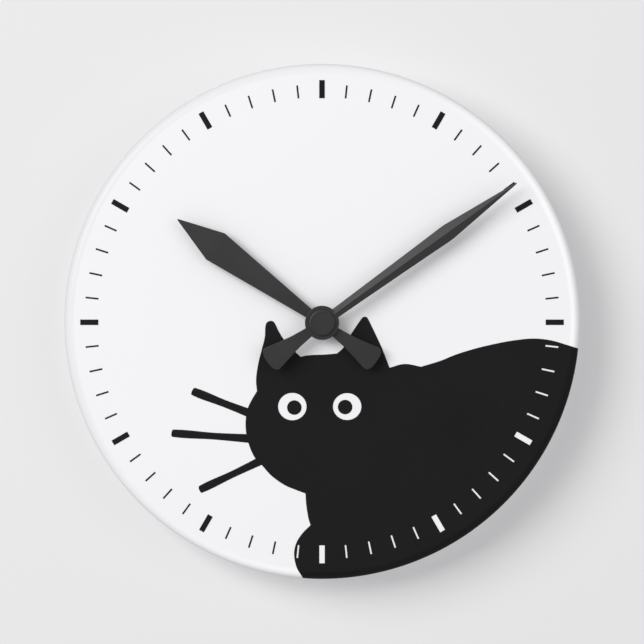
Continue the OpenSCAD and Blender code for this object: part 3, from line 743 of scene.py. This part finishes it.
def make_case():
    obj = round_block("case", (-HALF, CASE_FRONT, -HALF), (HALF, SEAM, HALF), 3 * MM, 10)
    bevel_edges(obj, in_plane(CASE_FRONT), 0.8 * MM, 4)
    room = HALF - WALL
    cut(obj, round_block("tool", (-room, FLOOR_BACK, -room), (room, SEAM + 2 * PAST, room), 1.8 * MM, 6))
    root = FLOOR_BACK - 0.2 * MM
    divider = block("divider", (-26 * MM, root, BAY_WALL[0]), (26 * MM, SEAM - 0.02 * MM, BAY_WALL[1]))
    posts = [disc("post", r * MM, root, -3.8 * MM, 32, x * MM, z * MM) for x, z, r in POSTS]
    neck = disc("neck", BUSH_R, CASE_LOW.y, CASE_FRONT + 0.3 * MM, 96)
    bevel_edges(neck, in_plane(CASE_LOW.y), 0.35 * MM, 2)
    union(obj, divider, neck, *posts)
    union(obj, *[disc("stud", r * MM, root, -depth * MM, 24, x * MM, z * MM) for x, z, r, depth in STUDS])
    cut(obj, disc("tool", 2.62 * MM, CASE_LOW.y - PAST, FLOOR_BACK + PAST, 64))
    for x, z, r in POSTS[:2]:
        cut(obj, disc("tool", 0.7 * MM, -7 * MM, 0, 32, x * MM, z * MM))
    # notch for the hanger, and grip ribs on both sides
    cut(obj, block("tool", (-12.1 * MM, SEAM - 1.05 * MM, 26 * MM), (12.1 * MM, SEAM + PAST, 29 * MM)))
    for side in (-1, 1):
        for k in range(5):
            z = (-4 + 2 * k) * MM
            lo_x, hi_x = sorted((side * (HALF + 0.3 * MM), side * (HALF - 0.35 * MM)))
            cut(obj, block("tool", (lo_x, CASE_FRONT + 3 * MM, z - 0.4 * MM),
                           (hi_x, SEAM - 3 * MM, z + 0.4 * MM)))
    smooth(obj, 30)
    return put(obj, CASE, "clock_frame", "case_black", "front_case")


def make_cover():
    obj = round_block("cover", (-HALF, SEAM + 0.03 * MM, -HALF), (HALF, 0, HALF), 3 * MM, 10)
    bevel_edges(obj, in_plane(0), 0.5 * MM, 3)
    lo_b, hi_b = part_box("battery_can")
    bay = block("tool", (lo_b.x - 1.6 * MM, -5 * MM, -26.4 * MM), (hi_b.x + 0.2 * MM, 2 * MM, -11.5 * MM))
    cut(obj, bay)
    cut(obj, disc("tool", 5.8 * MM, -5 * MM, 2 * MM, 96, KNOB_X, KNOB_Z))
    for r in (6.5, 7.6):
        cut(obj, hollow_disc("tool", (r + 0.2) * MM, (r - 0.2) * MM, -0.2 * MM, 1 * MM, 96, KNOB_X, KNOB_Z))
    for x, z, _ in POSTS[:2]:
        cut(obj, disc("tool", 2.05 * MM, -0.95 * MM, 1 * MM, 64, x * MM, z * MM))
        cut(obj, disc("tool", 0.8 * MM, -3 * MM, 1 * MM, 32, x * MM, z * MM))
    # plus and minus over the ends of the cell
    mark_z, deep, long, thin = -9.6 * MM, -0.25 * MM, 1.3 * MM, 0.3 * MM
    for x, is_plus in ((14 * MM, True), (-14 * MM, False)):
        bar = block("tool", (x - long, deep, mark_z - thin), (x + long, PAST, mark_z + thin))
        if is_plus:
            union(bar, block("bar", (x - thin, deep, mark_z - long), (x + thin, PAST, mark_z + long)))
        cut(obj, bar)
    for k in range(5):
        x = (9 + 2.6 * k) * MM
        slot = block("tool", (x, -5 * MM, 4 * MM), (x + 1.2 * MM, 2 * MM, 16 * MM))
        bevel_edges(slot, lambda a, b: abs(a.y - b.y) > 1 * MM, 0.55 * MM, 4)
        cut(obj, slot)
    soft_edges(obj, 0.15 * MM, 2)
    return put(obj, CASE, "clock_frame", "case_black", "rear_cover")


def make_hanger():
    lo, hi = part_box("hanger_plate")
    foot = round_block("hanger", (-12 * MM, lo.y, 23.2 * MM), (12 * MM, hi.y, 33.6 * MM), 2 * MM, 6)
    tab = round_block("tab", (-9 * MM, lo.y, 28 * MM), (9 * MM, hi.y, 42 * MM), 4 * MM, 8)
    union(foot, tab)
    cut(foot, disc("tool", 4 * MM, lo.y - 1 * MM, hi.y + 1 * MM, 96, 0, 34 * MM))
    cut(foot, block("tool", (-1.8 * MM, lo.y - 1 * MM, 34 * MM), (1.8 * MM, hi.y + 1 * MM, 38 * MM)))
    cut(foot, disc("tool", 1.8 * MM, lo.y - 1 * MM, hi.y + 1 * MM, 64, 0, 38 * MM))
    soft_edges(foot, 0.12 * MM, 2)
    return put(foot, STEEL, "clock_frame", "steel", "hanger_plate")


def make_knob():
    """Ridged setting knob, sunk in its well, on its stem and pinion."""
    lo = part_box("setting_knob")[0]
    back, face = -0.3 * MM, -1.9 * MM
    pinion_y = (-14.1 * MM, -12.6 * MM)
    obj = disc("knob_piece", 5.4 * MM, face, back, 96, KNOB_X, KNOB_Z)
    for k in range(24):
        a = math.radians(15 * k)
        x, z = KNOB_X + 5.55 * MM * math.cos(a), KNOB_Z + 5.55 * MM * math.sin(a)
        cut(obj, disc("tool", 0.42 * MM, face - PAST, back + PAST, 12, x, z))
    cut(obj, hollow_disc("tool", 4.2 * MM, 3.0 * MM, back - 0.5 * MM, back + 1 * MM, 96, KNOB_X, KNOB_Z))
    soft_edges(obj, 0.12 * MM, 2)
    stem = disc("stem", 1.0 * MM, pinion_y[1] - 0.1 * MM, face + 0.1 * MM, 32, KNOB_X, KNOB_Z)
    pivot = disc("pivot", 0.6 * MM, lo.y, pinion_y[0] + 0.1 * MM, 24, KNOB_X, KNOB_Z)
    root = disc("root", 2.35 * MM, *pinion_y, 48, KNOB_X, KNOB_Z)
    union(obj, stem, pivot, root)
    for k in range(12):
        tooth = block("tooth", (KNOB_X - 0.24 * MM, pinion_y[0], KNOB_Z + 2.2 * MM),
                      (KNOB_X + 0.24 * MM, pinion_y[1], KNOB_Z + 3.1 * MM))
        turn = math.radians(30 * k + KNOB_TOOTH)
        cos, sin = math.cos(turn), math.sin(turn)
        for v in tooth.data.vertices:
            x, z = v.co.x - KNOB_X, v.co.z - KNOB_Z
            v.co.x = KNOB_X + x * cos + z * sin
            v.co.z = KNOB_Z - x * sin + z * cos
        union(obj, tooth)
    smooth(obj, 30)
    return put(obj, KNOB, "knob", "knob_red", "setting_knob")


def make_screws():
    """One countersunk cross-head screw, then its copy."""
    lo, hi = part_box("cover_screw")
    x, z, r = POSTS[0][0] * MM, POSTS[0][1] * MM, 1.9 * MM
    first = disc("screw_1", r, hi.y - 0.8 * MM, hi.y, 48, x, z)
    bevel_edges(first, in_plane(hi.y), 0.25 * MM, 3)
    shank = disc("shank", 0.69 * MM, lo.y, hi.y - 0.7 * MM, 24, x, z)
    bevel_edges(shank, in_plane(lo.y), 0.4 * MM, 2)
    union(first, shank)
    for long, wide in ((1.2, 0.22), (0.22, 1.2)):
        cut(first, block("tool", (x - long * MM, hi.y - 0.45 * MM, z - wide * MM),
                         (x + long * MM, hi.y + PAST, z + wide * MM)))
    smooth(first, 30)
    second = first.copy()
    second.data = first.data.copy()
    second.name = second.data.name = "screw_2"
    bpy.context.scene.collection.objects.link(second)
    for v in second.data.vertices:
        v.co.x += (POSTS[1][0] - POSTS[0][0]) * MM
    put(first, STEEL, "clock_frame", "steel", "cover_screw")
    return put(second, STEEL, "clock_frame", "steel")


def make_cell():
    lo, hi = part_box("battery_can")
    r = (hi.z - lo.z) / 2
    y, z = (lo.y + hi.y) / 2, (lo.z + hi.z) / 2

    def along(name, radius, x0, x1, steps=96):
        deselect()
        bpy.ops.mesh.primitive_cylinder_add(
            vertices=steps, radius=radius, depth=x1 - x0, location=((x0 + x1) / 2, y, z),
            rotation=(0, math.pi / 2, 0))
        return apply_place(named(name))

    x_step = hi.x - 1.0 * MM
    can = along("cell_can", r, lo.x, x_step)
    bevel_edges(can, lambda a, b: abs(a.x - b.x) < 1e-6, 0.5 * MM, 4)
    button = along("button", 2.6 * MM, x_step - 0.3 * MM, hi.x)
    bevel_edges(button, lambda a, b: abs(a.x - b.x) < 1e-6 and a.x > x_step, 0.4 * MM, 3)
    union(can, button)
    smooth(can, 35)
    put(can, NICKEL, "battery", "nickel", "battery_can")
    s_lo, s_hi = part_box("battery_sleeve")
    film = along("cell_film_sleeve", (s_hi.z - s_lo.z) / 2, s_lo.x, s_hi.x)
    cut(film, along("tool", (s_hi.z - s_lo.z) / 2 - 0.14 * MM, s_lo.x - 1 * MM, s_hi.x + 1 * MM))
    soft_edges(film, 0.05 * MM, 2)
    return put(film, FILM, "battery", "cell_film", "battery_sleeve")


make_dial()
make_print()
make_minute_hand()
make_hour_hand()
make_cap()
make_nut()
ring("washer", 6.3 * MM, 4.0 * MM, 0.1 * MM, BRASS, "brass", "nut_washer")
ring("gasket", 14 * MM, 4.1 * MM, 0.2 * MM, RUBBER, "gasket_rubber", "dial_gasket")
make_case()
make_cover()
make_hanger()
make_knob()
make_screws()
make_cell()


# ---------- stage, lights, camera ----------
def backdrop():
    """Pale wall behind the clock. Its rear side is clear, so the clock's back can be seen."""
    f = Finish("wall_paint")
    tone = f.mix(f.noise(3, 3), (0.762, 0.762, 0.762), (0.775, 0.775, 0.775))
    diffuse = f.add("ShaderNodeBsdfDiffuse", {}, {"Color": tone})
    clear = f.add("ShaderNodeBsdfTransparent")
    behind = f.add("ShaderNodeNewGeometry", out="Backfacing")
    f.end(f.add("ShaderNodeMixShader", {}, {0: behind, 1: diffuse, 2: clear}))
    deselect()
    bpy.ops.mesh.primitive_plane_add(size=4, location=(0, 0.3 * MM, 0), rotation=UPRIGHT)
    wall = apply_place(named("wall"))
    wall.data.materials.append(f.mat)
    wall.visible_shadow = wall.visible_diffuse = wall.visible_glossy = False


def lamp(name, place, size, watts):
    """A round soft lamp aimed at the middle of the clock's back."""
    deselect()
    bpy.ops.object.light_add(type="AREA", location=place)
    obj = bpy.context.object
    obj.name = name
    obj.data.shape, obj.data.size, obj.data.energy = "DISK", size, watts
    obj.rotation_mode = "QUATERNION"
    obj.rotation_quaternion = (-Vector(place)).to_track_quat("-Z", "Y")
    return obj


def studio():
    lamp("key", (-2.0, -2.4, 1.1), 2.1, 69)
    lamp("glint", (-0.45, -1.85, 0.62), 0.45, 2.2)
    lamp("fill", (1.4, -1.8, 0.2), 1.6, 6)
    lamp("back_key", (-0.45, 2.0, 0.75), 1.0, 20).visible_glossy = False
    world = bpy.data.worlds.new("studio")
    bpy.context.scene.world = world
    world.use_nodes = True
    back = world.node_tree.nodes["Background"]
    back.inputs["Color"].default_value, back.inputs["Strength"].default_value = (0.9, 0.9, 0.92, 1), 0.55


VIEW_OVER_DIAL = 1.2505      # width of the view, in dial widths


def camera():
    """Straight on to the dial from just above the hand axis, with a long lens."""
    reach, frame_w, above = 1.2, VIEW_OVER_DIAL * 2 * DIAL_R, math.radians(1.8)
    place = (0, DIAL_FRONT + EDGE_R - reach * math.cos(above), reach * math.sin(above))
    deselect()
    bpy.ops.object.camera_add(location=place, rotation=(math.pi / 2 - above, 0, 0))
    cam = bpy.context.object
    cam.data.lens = cam.data.sensor_width * reach / frame_w
    cam.data.clip_start, cam.data.clip_end = 0.05, 20
    bpy.context.scene.camera = cam
    bpy.context.scene.view_settings.view_transform = "Standard"


backdrop()
studio()
camera()
